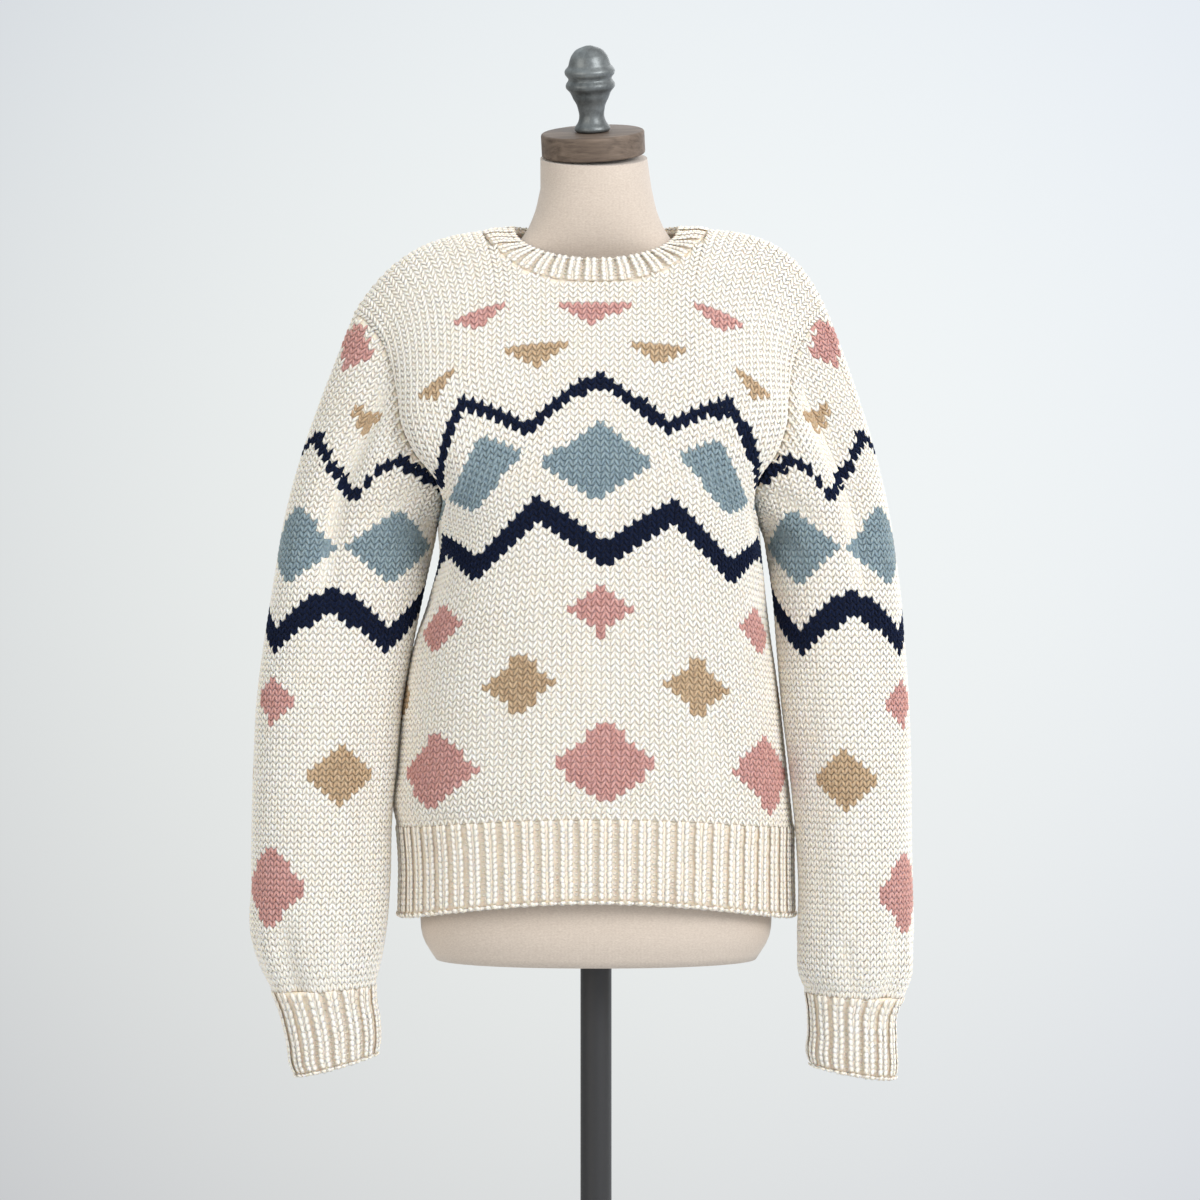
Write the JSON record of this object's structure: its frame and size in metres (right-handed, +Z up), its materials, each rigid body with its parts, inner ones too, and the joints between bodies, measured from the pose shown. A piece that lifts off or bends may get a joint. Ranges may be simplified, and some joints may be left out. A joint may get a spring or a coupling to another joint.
{
  "type": "sweater on dress form",
  "caption": "Bulky hand-knit crew-neck sweater with ribbed hem, cuffs and neckband, worn on a limbless dress form with a wood neck cap, a cast finial, a pole and a round base.",
  "frame": {"origin": "on the floor, in the middle of the base's underside, on the pole's axis", "axes": "+Z up along the height, the front of the sweater towards -Y, the wearer's left towards +X"},
  "size_m": [0.592, 0.4, 1.5441],
  "materials": {
    "front": "matt cream knitted wool, with a charted colour pattern in the visual layer",
    "back": "matt cream knitted wool, with a charted colour pattern in the visual layer",
    "hem_front": "matt cream knitted wool, with a charted colour pattern in the visual layer",
    "hem_back": "matt cream knitted wool, with a charted colour pattern in the visual layer",
    "sleeve_right": "matt cream knitted wool, with a charted colour pattern in the visual layer",
    "sleeve_left": "matt cream knitted wool, with a charted colour pattern in the visual layer",
    "cuff_right": "matt cream knitted wool, with a charted colour pattern in the visual layer",
    "cuff_left": "matt cream knitted wool, with a charted colour pattern in the visual layer",
    "neckband": "matt cream knitted wool, with a charted colour pattern in the visual layer",
    "dress_form": "matt natural linen over padding",
    "neck_cap": "dark brown, low sheen",
    "finial": "dull grey casting",
    "stand_pole": "satin black",
    "stand_base": "satin black"
  },
  "bodies": {
    "root": {"front": "front", "back": "back", "hem_front": "hem_front", "hem_back": "hem_back", "sleeve_right": "sleeve_right", "sleeve_left": "sleeve_left", "cuff_right": "cuff_right", "cuff_left": "cuff_left", "neckband": "neckband", "dress_form": "dress_form", "neck_cap": "neck_cap", "finial": "finial", "stand_pole": "stand_pole", "stand_base": "stand_base"}
  },
  "joints": []
}
